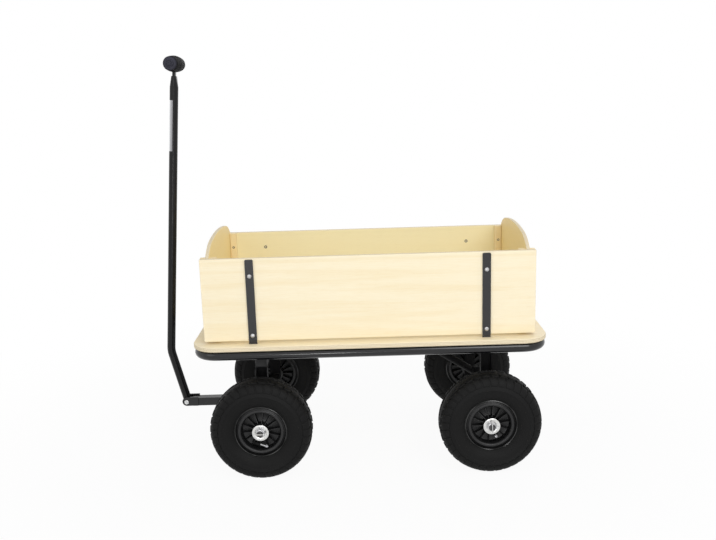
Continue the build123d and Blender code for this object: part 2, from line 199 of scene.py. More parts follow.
def plywoodFinish(name, thickAxis, grainAxis, low, thickness, innerShadeOf=None):
    wood = Finish(name)
    scale, share = plywood["scale"], plywood["share"]
    stretch = [1.0, 1.0, 1.0]
    stretch[grainAxis] = plywood["grainSquash"]
    broad = wood.noise(scale["broad"], 4, stretch, distortion=1.4)
    fibre = wood.noise(scale["fibre"], 3, stretch)
    cloud = wood.noise(scale["cloud"], 3)
    dash = list(stretch)
    dash[grainAxis] = plywood["poreSquash"]
    pores = wood.noise(scale["pore"], 1, dash).ramp(0.62, 0.72)

    grain = broad.ramp(0.42, 0.66) * share["broad"] + fibre.ramp(0.35, 0.7) * share["fibre"]
    grain = grain + cloud * share["cloud"]
    face = wood.mix(grain, tone(*plywood["veneer"]), tone(*plywood["grain"]))
    if innerShadeOf:
        # the faces inside the box get painted shade: a deeper, warmer colour stands in for the box's shadow and its
        # bounced light
        axis, limit, tint = innerShadeOf
        centred = wood.along(axis) - (boxX if axis == 0 else 0.0)
        # mask of the inner face, where the painted shade goes
        inner = 1 - abs(centred).ramp(limit - 0.0004, limit + 0.0006)
        face = wood.mix(inner * share["innerShade"], face, tone(*plywood[tint]))
    face = wood.mix(pores * share["pore"], face, tone(*plywood["pore"]))

    depth = (wood.along(thickAxis) - low) * (plywood["plies"] / thickness)
    crossPly = wood.calc("MODULO", wood.calc("FLOOR", depth), 2.0)
    glue = 1 - wood.calc("PINGPONG", depth, 0.5).ramp(0.02, 0.11)
    rough = [1.0, 1.0, 1.0]
    rough[thickAxis] = plywood["edgeSquash"]
    endGrain = wood.noise(scale["endGrain"], 2, rough)
    layers = wood.mix(crossPly, tone(*plywood["edgeLight"]), tone(*plywood["edgeDark"]))
    layers = wood.mix(endGrain.ramp(0.4, 0.7) * share["endGrain"] * crossPly, layers, tone(*plywood["glue"]))
    layers = wood.mix(glue * share["glue"], layers, tone(*plywood["glue"]))
    edge = 1 - abs(wood.facing(thickAxis)).ramp(0.55, 0.9)
    wood.set("Base Color", wood.mix(edge, face, layers))
    wood.set("Roughness", fibre * 0.14 + edge * 0.18 + (plywood["roughness"] - 0.07))
    wood.bump(fibre * 0.5 + broad * 0.4 + endGrain * edge - glue * edge * 0.8, plywood["relief"], 0.6)
    return wood.material


print("finishes: plywood")

# Solid softwood of the corner battens, grain upright
batten = {
    "light": (254, 238, 196),
    "dark": (238, 212, 160),
    "roughness": 0.52,
    "relief": 0.00012,
    "ringScale": 60,
    "fibreScale": 700,
}


def battenFinish():
    wood = Finish("battenWood")
    rings = wood.noise(batten["ringScale"], 3, (1, 1, 0.04), distortion=0.8)
    fibre = wood.noise(batten["fibreScale"], 2, (1, 1, 0.03))
    grain = rings.ramp(0.4, 0.65) * 0.6 + fibre * 0.35
    wood.set("Base Color", wood.mix(grain, tone(*batten["light"]), tone(*batten["dark"])))
    wood.set("Roughness", fibre * 0.16 + batten["roughness"])
    wood.bump(fibre + rings * 0.5, batten["relief"], 0.6)
    return wood.material


# Black powder coat: satin, faintly pebbled, dusty on top, rubbed grey in a few spots, in copies with painted light
# and shade
paint = {
    # colour, gloss level and roughness; one coat, its black painted lighter on the stakes for painted light and
    # darker on the tube and the parts underneath for painted shade
    "rail": ((18, 18, 20), 0.48, 0.1),
    # painted shade: the tube's black is darker than the rail's
    "tube": ((10, 10, 11), 0.28, 0.24),
    # painted light: the stakes' black is lighter than the rail's
    "stake": ((47, 47, 49), 0.36, 0.24),
    # painted shade: a darker, duller black for the parts under the deck
    "under": ((16, 16, 17), 0.12, 0.46),
    "dust": (76, 75, 73),
    "rub": (62, 62, 66),
    "relief": 0.00006,
    "pebbleScale": 1100,
    "patchScale": 14,
    "rubScale": 85,
}


def paintFinish(name, kind):
    black, gloss, roughness = paint[kind]
    coat = Finish(name, {"Specular IOR Level": gloss})
    pebble = coat.noise(paint["pebbleScale"], 2)
    patch = coat.noise(paint["patchScale"], 4)
    rub = coat.noise(paint["rubScale"], 5).ramp(0.66, 0.74) * coat.noise(9, 1).ramp(0.5, 0.62)
    dust = coat.facing(2).ramp(0.6, 1.0) * patch.ramp(0.35, 0.8)
    colour = coat.mix(dust * 0.14, tone(*black), tone(*paint["dust"]))
    coat.set("Base Color", coat.mix(rub * 0.5, colour, tone(*paint["rub"])))
    coat.set("Roughness", patch * 0.12 + dust * 0.12 + rub * 0.1 + roughness)
    coat.bump(pebble, paint["relief"], 0.5)
    return coat.material


# Tyre rubber: dull black, paler on the tread blocks, dust in the low places, a shine on the bead's ridge
rubber = {
    "black": (13, 13, 13),
    "scuff": (22, 22, 21),
    "dust": (27, 26, 25),
    "roughness": 0.5,
    "relief": 0.00012,
    "gritScale": 700,
    "patchScale": 24,
}


def rubberFinish():
    skin = Finish("tyreRubber", {"Specular IOR Level": 0.17, "Coat Roughness": 0.16})
    grit = skin.noise(rubber["gritScale"], 4)
    patch = skin.noise(rubber["patchScale"], 4)
    crown, low, lip = skin.marked("crown"), skin.marked("low"), skin.marked("lip")
    colour = skin.mix(crown * patch * 0.7, tone(*rubber["black"]), tone(*rubber["scuff"]))
    colour = skin.mix(low * patch.ramp(0.3, 0.8) * 0.35, colour, tone(*rubber["dust"]))
    skin.set("Base Color", colour)
    skin.set("Roughness", grit * 0.1 + patch * 0.12 + crown * 0.12 - lip * 0.1 + rubber["roughness"])
    skin.set("Coat Weight", lip * patch.ramp(0.35, 0.6))
    skin.bump(grit, rubber["relief"], 0.5)
    return skin.material


# Glass-filled nylon of the rims
nylon = {
    "black": (18, 18, 19),
    "bloom": (29, 29, 30),
    "roughness": 0.33,
    "relief": 0.00005,
    "flowScale": 30,
    "sparkScale": 1600,
}


def nylonFinish():
    skin = Finish("blackNylon", {"Specular IOR Level": 0.42})
    flow = skin.noise(nylon["flowScale"], 4, distortion=1.0)
    spark = skin.noise(nylon["sparkScale"], 1)
    skin.set("Base Color", skin.mix(flow.ramp(0.45, 0.8) * 0.5, tone(*nylon["black"]), tone(*nylon["bloom"])))
    skin.set("Roughness", flow * 0.14 + spark * 0.06 + nylon["roughness"])
    skin.bump(spark, nylon["relief"], 0.5)
    return skin.material


# Bright zinc plate, and the duller steel of nuts, screws and axles
plating = {"cloudScale": 160, "brushScale": 2400, "tintScale": 45, "relief": 0.00003}
steel = {
    "zincSteel": {"bright": (222, 222, 220), "cloud": (190, 191, 192), "warm": (212, 204, 186), "roughness": 0.2},
    "satinZinc": {"bright": (190, 190, 192), "cloud": (150, 151, 154), "warm": (172, 166, 154), "roughness": 0.3},
    "dullSteel": {"bright": (150, 150, 150), "cloud": (96, 97, 99), "warm": (128, 118, 100), "roughness": 0.34},
    "darkSteel": {"bright": (92, 92, 92), "cloud": (60, 60, 61), "warm": (78, 72, 62), "roughness": 0.36},
}


def steelFinish(name):
    shades = steel[name]
    plate = Finish(name, {"Metallic": 1.0})
    cloud = plate.noise(plating["cloudScale"], 5)
    brushed = plate.noise(plating["brushScale"], 1, (1, 1, 0.2))
    tint = plate.noise(plating["tintScale"], 2).ramp(0.5, 0.75)
    colour = plate.mix(cloud.ramp(0.4, 0.75), tone(*shades["bright"]), tone(*shades["cloud"]))
    plate.set("Base Color", plate.mix(tint * 0.3, colour, tone(*shades["warm"])))
    plate.set("Roughness", cloud * 0.16 + brushed * 0.08 + shades["roughness"])
    plate.bump(brushed + cloud, plating["relief"], 0.5)
    return plate.material


# Soft grip plastic with a moulded pebble, paler where the end caps face out
gripSkin = {
    "black": (9, 9, 9),
    "worn": (30, 30, 32),
    "cap": (70, 70, 80),
    "roughness": 0.4,
    "relief": 0.00025,
    "pebbleScale": 620.0,
    "patchScale": 60,
}


def gripFinish():
    skin = Finish("gripPlastic", {"Specular IOR Level": 0.02})
    pebble = skin.node("ShaderNodeTexVoronoi", values={"Vector": skin.place(), "Scale": gripSkin["pebbleScale"]})
    patch = skin.noise(gripSkin["patchScale"], 3)
    colour = skin.mix(patch.ramp(0.45, 0.75) * 0.5, tone(*gripSkin["black"]), tone(*gripSkin["worn"]))
    ends = abs(skin.facing(1)).ramp(0.15, 0.75) * (patch * 0.5 + 0.6)
    skin.set("Base Color", skin.mix(ends, colour, tone(*gripSkin["cap"])))
    skin.set("Roughness", patch * 0.2 + gripSkin["roughness"])
    skin.bump(pebble, gripSkin["relief"], 0.6)
    return skin.material


# Film of the bare pale band on the handle, with painted shade where it wraps round the tube's sides
band = {
    "film": (238, 239, 241),
    "grey": (222, 223, 226),
    # painted shade where the band turns away round the tube
    "side": (128, 128, 131),
    "roughness": 0.2,
    "relief": 0.0001,
    "patchScale": 38,
}


def bandFinish():
    film = Finish("paleBand", {"Metallic": 0.75})
    patch = film.noise(band["patchScale"], 3, (1, 1, 0.3))
    colour = film.mix(patch.ramp(0.4, 0.75), tone(*band["film"]), tone(*band["grey"]))
    # painted shade: darker towards the sides of the wrap
    film.set("Base Color", film.mix(film.marked("aside").ramp(0.55, 1.08), colour, tone(*band["side"])))
    film.set("Roughness", patch * 0.2 + band["roughness"])
    film.bump(patch, band["relief"], 0.3)
    return film.material


railPaint = paintFinish("railPaint", "rail")
tubePaintShaded = paintFinish("tubePaintShaded", "tube")
stakePaintLit = paintFinish("stakePaintLit", "stake")
underPaintShaded = paintFinish("underPaintShaded", "under")
tyreRubber = rubberFinish()
rimNylon = nylonFinish()
zincPlate = steelFinish("zincSteel")
satinZinc = steelFinish("satinZinc")
dullSteel = steelFinish("dullSteel")
darkSteel = steelFinish("darkSteel")
gripPlastic = gripFinish()
paleBand = bandFinish()
battenWood = battenFinish()

deckPly = plywoodFinish("deckPlywood", 2, 0, deckLow.z, deckHigh.z - deckLow.z)
nodes["deck"].material_slots[0].material = deckPly
# the boards' inner faces get painted shade
for side in ("left", "right"):
    low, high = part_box("side_board_" + side)
    innerShade = (1, boardLow.y + plywood["innerShadeDepth"], "sideInnerShade")
    ply = plywoodFinish("boardPlywood_" + side, 1, 0, low.y, high.y - low.y, innerShade)
    nodes["side_board_" + side].material_slots[0].material = ply
for end in ("front", "rear"):
    low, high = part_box("end_board_" + end)
    innerShade = (0, min(abs(low.x - boxX), abs(high.x - boxX)) + plywood["innerShadeDepth"], "endInnerShade")
    ply = plywoodFinish("endPlywood_" + end, 0, 1, low.x, high.x - low.x, innerShade)
    nodes["end_board_" + end].material_slots[0].material = ply

bySlot = {
    # the frame and the parts under the deck take the paint with painted shade
    "black_paint": underPaintShaded,
    "tyre_rubber": tyreRubber,
    "black_nylon": rimNylon,
    "zinc_steel": zincPlate,
    "grip_plastic": gripPlastic,
}
for name, node in nodes.items():
    for materialSlot in node.material_slots:
        had = materialSlot.material.name if materialSlot.material else ""
        for slotName, material in bySlot.items():
            if had.startswith(slotName):
                materialSlot.material = material
    if name.startswith("corner_battens"):
        node.material_slots[0].material = battenWood
    if name.startswith("stake_"):
        node.material_slots[0].material = stakePaintLit
    if name in ("frame_rail", "tongue", "tongue_clevis"):
        node.material_slots[0].material = railPaint
    if name == "handle_tube":
        node.material_slots[0].material = tubePaintShaded
print("finishes: all set")


# Mesh helpers
def turned(direction, origin):
    # a matrix that lays local Z along a direction
    return Matrix.Translation(origin) @ Vector(direction).to_track_quat("Z", "Y").to_matrix().to_4x4()


def sideways(place, way):
    # a matrix that lays local Z across the wagon, along +Y for a way of 1 and along -Y for -1
    return Matrix.Translation(place) @ Matrix.Rotation(-way * math.pi / 2, 4, "X")


def lathe(bm, points, steps):
    # points are radius and height; the closed outline is spun about Z
    verts = [bm.verts.new((radius, 0, height)) for radius, height in points]
    edges = [bm.edges.new((a, b)) for a, b in zip(verts, verts[1:] + verts[:1])]
    bmesh.ops.spin(
        bm, geom=verts + edges, cent=(0, 0, 0), axis=(0, 0, 1), angle=math.tau, steps=steps,
        use_merge=True, use_duplicate=False,
    )
    bmesh.ops.remove_doubles(bm, verts=bm.verts, dist=1e-6)
    bmesh.ops.dissolve_degenerate(bm, dist=1e-7, edges=bm.edges)


def mirrored(outline):
    # the other half of an outline, in the order that goes on from the first
    return [(radius, -height) for radius, height in reversed(outline)]


def soften(bm, edges, width, segments=2):
    bmesh.ops.bevel(
        bm, geom=edges, offset=width, offset_type="OFFSET", segments=segments, profile=0.5,
        affect="EDGES", clamp_overlap=True, material=-1,
    )


def fullTurn(steps):
    # cosine and sine at each step, the last one back at the start
    return [(math.cos(math.tau * step / steps), math.sin(math.tau * step / steps)) for step in range(steps + 1)]


def rod(bm, path, radius, segments, ripple=0.0):
    # a round wire or a weld bead through points, its ring pulled out step by step
    points = [Vector(point) for point in path]
    legs = [(b - a).normalized() for a, b in zip(points, points[1:])]
    ways = [legs[0]] + [(a + b).normalized() for a, b in zip(legs, legs[1:])] + [legs[-1]]
    ring = bmesh.ops.create_circle(
        bm, cap_ends=True, segments=segments, radius=radius, matrix=turned(ways[0], points[0]),
    )["verts"]
    made = set(ring)
    edges = [e for e in {e for v in ring for e in v.link_edges} if all(v in made for v in e.verts)]
    for index in range(1, len(points)):
        pulled = bmesh.ops.extrude_edge_only(bm, edges=edges)["geom"]
        ring = [v for v in pulled if isinstance(v, bmesh.types.BMVert)]
        edges = [e for e in pulled if isinstance(e, bmesh.types.BMEdge)]
        bend = ways[index - 1].rotation_difference(ways[index]).to_matrix().to_4x4()
        swell = 1 + ripple if index % 2 else 1 / (1 + ripple)
        step = Matrix.Translation(points[index]) @ Matrix.Scale(swell, 4) @ bend
        bmesh.ops.transform(bm, matrix=step @ Matrix.Translation(-points[index - 1]), verts=ring)
    bmesh.ops.edgeloop_fill(bm, edges=edges)


# Weld beads: rows of small ripples
bead = {
    "radius": 0.0016,
    "pace": 0.0017,  # length of one ripple
    "ripple": 0.16,
    "sides": 7,
    "plateHalf": 0.055,  # half length of the runs beside the turntable
    "stayLean": 33,  # degrees that the stay slopes, which stretches its round seams
    "staySteps": 40,
}


def weld(bm, corners):
    # a rippled bead along straight runs
    path = []
    for start, end in zip(corners, corners[1:]):
        start, end = Vector(start), Vector(end)
        count = max(2, round((end - start).length / bead["pace"]))
        path += [start.lerp(end, step / count) for step in range(count)]
    rod(bm, path + [Vector(corners[-1])], bead["radius"], bead["sides"], bead["ripple"])


def weldRound(bm, node, axis, high):
    # beads round the end of a node's box
    low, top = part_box(node)
    across = [number for number in range(3) if number != axis]
    corners = []
    for first, second in ((0, 0), (1, 0), (1, 1), (0, 1), (0, 0)):
        corner = Vector((0, 0, 0))
        corner[axis] = (top if high else low)[axis]
        corner[across[0]] = (low, top)[first][across[0]]
        corner[across[1]] = (low, top)[second][across[1]]
        corners.append(corner)
    weld(bm, corners)


# slanting planes that turn off a nut's corners; their reach is a share of its flats
chamferCut = {"planes": 24, "reach": 0.48, "out": 0.5, "up": 0.866}


def hexagon(bm, flats, low, high, matrix, chamfer):
    # a nut or bolt head between two heights, with its corners turned off below and above as chamfer says
    radius = flats / 2 / math.cos(math.radians(30))
    nut = bmesh.new()
    bmesh.ops.create_cone(
        nut, cap_ends=True, cap_tris=False, segments=6, radius1=radius, radius2=radius, depth=high - low,
        matrix=Matrix.Translation((0, 0, (low + high) / 2)),
    )
    for side, cut in ((-1, chamfer[0]), (1, chamfer[1])):
        for step in range(chamferCut["planes"] if cut else 0):
            around = math.tau * step / chamferCut["planes"]
            point = Vector((math.cos(around), math.sin(around), 0)) * flats * chamferCut["reach"]
            point.z = high if side > 0 else low
            out = chamferCut["out"]
            slope = Vector((math.cos(around) * out, math.sin(around) * out, side * chamferCut["up"]))
            geometry = nut.verts[:] + nut.edges[:] + nut.faces[:]
            made = bmesh.ops.bisect_plane(nut, geom=geometry, plane_co=point, plane_no=slope, clear_outer=True)
            cutEdges = [e for e in made["geom_cut"] if isinstance(e, bmesh.types.BMEdge)]
            if cutEdges:
                bmesh.ops.edgeloop_fill(nut, edges=cutEdges)
    stamp(bm, nut, matrix)


def stamp(bm, small, matrix):
    # puts a small finished bmesh into a larger one, at a place
    mesh = bpy.data.meshes.new("stamp")
    small.to_mesh(mesh)
    small.free()
    mesh.transform(matrix)
    bm.from_mesh(mesh)
    bpy.data.meshes.remove(mesh)


def turnedPart(bm, points, matrix, steps=32):
    # a lathed shape set down at a place
    small = bmesh.new()
    lathe(small, points, steps)
    stamp(bm, small, matrix)


def arcBlock(bm, corners, start, sweep, steps, matrix):
    # a block bent round Z: its section of radius and height is spun through an angle
    small = bmesh.new()
    verts = [small.verts.new((radius, 0, height)) for radius, height in corners]
    face = small.faces.new(verts)
    bmesh.ops.rotate(small, verts=verts, matrix=Matrix.Rotation(math.radians(start), 3, "Z"))
    bmesh.ops.spin(
        small, geom=[face] + face.edges[:] + verts, cent=(0, 0, 0), axis=(0, 0, 1),
        angle=math.radians(sweep), steps=steps, use_merge=False, use_duplicate=False,
    )
    bmesh.ops.recalc_face_normals(small, faces=small.faces)
    stamp(bm, small, matrix)


def settle(bm, name, material, body, sharp, recalc=True):
    # makes a finished bmesh a piece that rides on a body
    if recalc:
        bmesh.ops.recalc_face_normals(bm, faces=bm.faces)
    mesh = bpy.data.meshes.new(name)
    bm.to_mesh(mesh)
    bm.free()
    mesh.materials.append(material)
    mesh.shade_smooth()
    mesh.set_sharp_from_angle(angle=math.radians(sharp))
    piece = bpy.data.objects.new(name, mesh)
    bpy.context.scene.collection.objects.link(piece)
    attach(piece, body)
    return piece


# Tyres: a block tread with shoulder lugs, a smooth wall and a bead lip
tyre = {
    "lugs": 36,  # blocks round the tread
    "cells": 6,  # turns of the spin for each block, the last one is the groove
    "lugHeight": 0.0024,
    "shoulderHeight": 0.0015,
    "taper": 0.0006,
    "edge": 0.0007,
    "crownFrom": 0.1257,  # radius outside which the crown's rows lie
    "shoulderFrom": 0.1066,  # radius where the shoulder lugs start
    "sweep": 5.6,  # degrees that the blocks lean back towards the shoulder
    "sweepWidth": 0.036,  # half width where they lean that far
    "sweepMost": 1.1,
    "sweepFrom": 0.104,  # radius under which the wall isn't swept
    "shift": 4.7,  # degrees that each tyre is turned from the one before
    # radii of the marks that the rubber's finish reads
    "wornFrom": 0.1289,
    "wornDepth": 0.0016,
    "dusty": (0.1200, 0.1286),
    "lip": (0.0630, 0.0668),
}

# radius and half width, from the bead up to the middle of the tread
tyreOutline = [
    (0.0503, 0.0258), (0.0626, 0.0258), (0.0628, 0.0286), (0.0634, 0.0302), (0.0644, 0.0313),
    (0.0655, 0.0316), (0.0664, 0.0310), (0.0672, 0.0307), (0.0684, 0.0316), (0.0704, 0.0336),
    (0.0740, 0.0361), (0.0800, 0.0392), (0.0862, 0.0413), (0.0929, 0.0424), (0.0965, 0.0426),
    (0.0971, 0.0430), (0.0981, 0.0430), (0.0987, 0.0425), (0.1015, 0.0420), (0.1042, 0.0405),
    (0.1068, 0.0394), (0.1125, 0.0377), (0.1182, 0.0352), (0.1219, 0.0315), (0.1242, 0.0280),
    (0.1256, 0.0246), (0.1262, 0.0216), (0.1277, 0.0116), (0.1280, 0.0086), (0.1285, 0.0060),
]
# lowest and highest half width, start cell: the blocks' rows, the last one runs on down the shoulder
treadRows = [(0.0, 0.0062, 0), (0.0114, 0.0218, 3), (0.0244, 0.0360, 0)]


def tyreMesh():
    bm = bmesh.new()
    lathe(bm, tyreOutline + mirrored(tyreOutline), tyre["lugs"] * tyre["cells"])
    bmesh.ops.recalc_face_normals(bm, faces=bm.faces)
    cell = math.tau / (tyre["lugs"] * tyre["cells"])
    shoulder = len(treadRows) - 1
    rows = [[] for row in treadRows]
    for face in bm.faces:
        centre = face.calc_center_median()
        radius, width = math.hypot(centre.x, centre.y), abs(centre.z)
        index = int(math.atan2(centre.y, centre.x) % math.tau / cell)
        for row, (low, high, start) in enumerate(treadRows):
            onCrown = radius > tyre["crownFrom"] and low < width < high
            onWall = row == shoulder and tyre["shoulderFrom"] < radius < tyre["crownFrom"] and width > low
            if onCrown or onWall:
                if (index + start) % tyre["cells"] != tyre["cells"] - 1:
                    rows[row].append(face)
                break
    for row, faces in enumerate(rows):
        height = tyre["shoulderHeight"] if row == shoulder else tyre["lugHeight"]
        walls = set(bmesh.ops.inset_region(
            bm, faces=faces, thickness=tyre["taper"], depth=height,
            use_boundary=True, use_even_offset=True,
        )["faces"])
        tops = set(faces)
        rims = [e for e in bm.edges if {f in walls for f in e.link_faces} == {True, False}
                and any(f in tops for f in e.link_faces)]
        soften(bm, rims, tyre["edge"])
    for vert in bm.verts:
        lean = math.radians(tyre["sweep"]) * min(abs(vert.co.z) / tyre["sweepWidth"], tyre["sweepMost"])
        if math.hypot(vert.co.x, vert.co.y) > tyre["sweepFrom"]:
            vert.co.rotate(Matrix.Rotation(-lean, 3, "Z"))
    crown, low, lip = [bm.verts.layers.float.new(name) for name in ("crown", "low", "lip")]
    for vert in bm.verts:
        radius = math.hypot(vert.co.x, vert.co.y)
        vert[crown] = min(max((radius - tyre["wornFrom"]) / tyre["wornDepth"], 0.0), 1.0)
        vert[low] = 1.0 if tyre["dusty"][0] < radius < tyre["dusty"][1] else 0.0
        vert[lip] = 1.0 if tyre["lip"][0] < radius < tyre["lip"][1] else 0.0
    return bm


def wheelPlace(name, angle=0.0):
    # local Z points away from the wagon, as the rim's outer face does
    side = 1 if wheelMiddle[name].y > 0 else -1
    return sideways(wheelMiddle[name], side) @ Matrix.Rotation(math.radians(angle), 4, "Z")


for index, name in enumerate(wheelNames):
    bm = tyreMesh()
    bmesh.ops.transform(bm, matrix=wheelPlace(name, index * tyre["shift"]), verts=bm.verts)
    piece = settle(bm, "treadTyre_" + name, tyreRubber, "wheel_" + name, 40, False)
    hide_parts("tyre_" + name)
print("tyres done")

# Rims: rolled lip, deep dish, tapered ribs and a hub
rim = {
    "steps": 84,
    "angle": 6.0,  # degrees that the ribs are turned
    "ribs": 14,
    "ribFoot": 0.0030,  # thickness
    "ribTop": 0.0016,
    "ribEdge": 0.0005,
    "ribBase": 0.0084,  # height over the wheel's middle
    # at the hub, and at the dish's wall
    "ribEnds": (0.0196, 0.0488),
    "ribHeights": (0.0256, 0.0176),
}
# radius and half width, from the hub's bore out to the lip and in to the barrel
rimOutline = [
    (0.0081, 0.0345), (0.0087, 0.0350), (0.0188, 0.0350), (0.0197, 0.0346), (0.0201, 0.0336),
    (0.0204, 0.0130), (0.0212, 0.0104), (0.0234, 0.0092), (0.0462, 0.0092), (0.0476, 0.0100),
    (0.0483, 0.0120), (0.0487, 0.0236), (0.0494, 0.0266), (0.0506, 0.0288), (0.0520, 0.0301),
    (0.0536, 0.0308), (0.0552, 0.0309), (0.0568, 0.0304), (0.0582, 0.0294), (0.0592, 0.0282),
    (0.0603, 0.0274), (0.0618, 0.0270), (0.0625, 0.0264), (0.0624, 0.0259), (0.0500, 0.0259),
]


def rimMesh():
    bm = bmesh.new()
    lathe(bm, rimOutline + mirrored(rimOutline), rim["steps"])
    for face in (1, -1):
        ribs = bmesh.new()
        bmesh.ops.create_cube(ribs, size=1)
        for vert in ribs.verts:
            outer, top = vert.co.x > 0, vert.co.z * face > 0
            thick = rim["ribTop"] if top else rim["ribFoot"]
            height = rim["ribHeights"][outer] if top else rim["ribBase"]
            vert.co = (rim["ribEnds"][outer], math.copysign(thick / 2, vert.co.y), face * height)
        crest = [e for e in ribs.edges if all(abs(v.co.z) > rim["ribBase"] * 1.5 for v in e.verts)]
        along = [e for e in crest if abs(e.verts[0].co.x - e.verts[1].co.x) > rim["ribFoot"]]
        soften(ribs, along, rim["ribEdge"])
        bmesh.ops.spin(
            ribs, geom=ribs.verts[:] + ribs.edges[:] + ribs.faces[:], cent=(0, 0, 0), axis=(0, 0, 1),
            angle=math.tau - math.tau / rim["ribs"], steps=rim["ribs"] - 1, use_duplicate=True, use_merge=False,
        )
        stamp(bm, ribs, Matrix())
    return bm


for name in wheelNames:
    bm = rimMesh()
    bmesh.ops.transform(bm, matrix=wheelPlace(name, rim["angle"]), verts=bm.verts)
    piece = settle(bm, "ribbedRim_" + name, rimNylon, "wheel_" + name, 38)
    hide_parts("rim_" + name)
print("rims done")

# Valves: a rubber foot in the dish, a threaded stem and a ribbed cap
valve = {
    "foot": 0.0190,  # height of the foot over the wheel's middle
    "stemRadius": 0.0030,
    "stemShort": 0.0060,  # how far the stem ends under the cap's top
    "capRadius": 0.0040,
    "capLength": 0.0085,
    "knurls": 12,
    "knurlTurn": 16,  # degrees
    # turn round the wheel and lean of the stem in degrees, distance from the hub, length
    "places": {
        "front_left": (98, -66, 0.0375, 0.0245), "front_right": (148, 8, 0.0350, 0.0175),
        "rear_left": (66, 4, 0.0300, 0.0175), "rear_right": (215, -8, 0.0350, 0.0175),
    },
}
bootOutline = [(0, -0.0186), (0.0066, -0.0186), (0.0062, -0.006), (0.0046, 0.001), (0.0038, 0.003), (0, 0.003)]

for name in wheelNames:
    turn, lean, away, tall = valve["places"][name]
    side = 1 if wheelMiddle[name].y > 0 else -1
    # angles are seen from outside, downwards and towards the rear
    around = Matrix.Rotation(math.radians(180 - turn if side > 0 else turn), 4, "Z")
    seat = (
        wheelPlace(name) @ around @ Matrix.Translation((away, 0, valve["foot"]))
        @ Matrix.Rotation(math.radians(lean), 4, "X")
    )
    boot = bmesh.new()
    turnedPart(boot, bootOutline, seat)
    settle(boot, "valveFoot_" + name, tyreRubber, "wheel_" + name, 40)
    stem = bmesh.new()
    radius, top = valve["stemRadius"], tall - valve["stemShort"]
    turnedPart(stem, [(0, 0), (radius, 0), (radius, top), (0, top)], seat, 20)
    radius, low = valve["capRadius"], tall - valve["capLength"]
    turnedPart(stem, [
        (0, low), (radius * 0.9, low), (radius * 0.9, tall - 0.0016), (radius * 0.78, tall - 0.0004),
        (radius * 0.5, tall), (0, tall),
    ], seat, 24)
    ridge = [
        (radius * 0.85, low + 0.0008), (radius, low + 0.0012), (radius, tall - 0.003),
        (radius * 0.85, tall - 0.0024),
    ]
    for index in range(valve["knurls"]):
        arcBlock(stem, ridge, 360 * index / valve["knurls"], valve["knurlTurn"], 2, seat)
    settle(stem, "valveStem_" + name, satinZinc, "wheel_" + name, 40)
print("valves done")

# Axles with turned collars, castle nuts, cup washers and split pins
axle = {
    "radius": 0.0080,
    "end": 0.2641,  # half length
    "collar": 0.0130,
    "collarAt": (0.1652, 0.1835),  # from the wagon's middle
    "collarEdge": 0.0008,
    "washer": 0.0210,
    "washerAt": 0.2543,
    "washerGap": 0.0002,
    "nutFlats": 0.0200,
    "nutAt": (0.0011, 0.0068),  # over the washer's seat, as are the heights below
    "crownRadius": 0.0086,
    "crownBore": 0.0081,
    "crownAt": (0.0066, 0.0103),
    "crownTeeth": 6,
    "toothStart": 13,  # degrees
    "toothTurn": 34,
}
splitPin = {
    "radius": 0.00125,
    "eyeWire": 0.0009,
    "eyeRadius": 0.0022,
    "eyeAt": (-0.0128, 0.0082),  # across the axle, and over the washer's seat
    "eyeSteps": 12,
    "turn": {"front_left": 0, "front_right": 35, "rear_left": 92, "rear_right": 140},
    "legs": [
        [
            (-0.0105, 0, 0.0082), (0.0098, 0, 0.0082), (0.0114, 0, 0.0089), (0.0117, 0, 0.0103),
            (0.0104, 0, 0.0114), (-0.0078, 0, 0.0117),
        ],
        [(0.0098, 0, 0.0078), (0.0114, 0, 0.0072), (0.0121, 0, 0.0056), (0.0121, 0, 0.0030)],
    ],
}


def axleBar(spot):
    bar = bmesh.new()
    radius, collar, edge, tip = axle["radius"], axle["collar"], axle["collarEdge"], axle["end"]
    inner, outer = axle["collarAt"]
    halfBar = [
        (radius, 0.0), (radius, inner), (collar - edge, inner), (collar, inner + edge), (collar, outer - edge),
        (collar - edge, outer), (radius, outer), (radius, tip - 0.0010), (radius - 0.0009, tip), (0.0, tip),
    ]
    turnedPart(bar, mirrored(halfBar) + halfBar[1:], sideways(spot, 1), 40)
    return bar


def cupWasher(cups, seat):
    bore, washer = axle["radius"] + axle["washerGap"], axle["washer"]
    turnedPart(cups, [
        (bore, 0.0004), (washer - 0.0012, 0.0), (washer, 0.0003), (washer, 0.0011), (washer - 0.0006, 0.0015),
        (washer - 0.0026, 0.0020), (washer - 0.0060, 0.0020), (washer - 0.0078, 0.0012), (bore, 0.0010),
    ], seat, 64)


def castleNut(nuts, seat):
    hexagon(nuts, axle["nutFlats"], *axle["nutAt"], seat, (False, True))
    bore, crown = axle["crownBore"], axle["crownRadius"]
    low, high = axle["crownAt"]
    tooth = [(bore, low), (crown, low), (crown, high - 0.0005), (crown - 0.0004, high), (bore, high)]
    for index in range(axle["crownTeeth"]):
        start = 360 / axle["crownTeeth"] * index + axle["toothStart"]
        arcBlock(nuts, tooth, start, axle["toothTurn"], 5, seat)


def addPin(pins, seat):
    for leg in splitPin["legs"]:
        rod(pins, [seat @ Vector(point) for point in leg], splitPin["radius"], 9)
    (across, height), radius = splitPin["eyeAt"], splitPin["eyeRadius"]
    eye = [Vector((across - radius * cos, 0, height + radius * sin)) for cos, sin in fullTurn(splitPin["eyeSteps"])]
    rod(pins, [seat @ point for point in eye], splitPin["eyeWire"], 8)


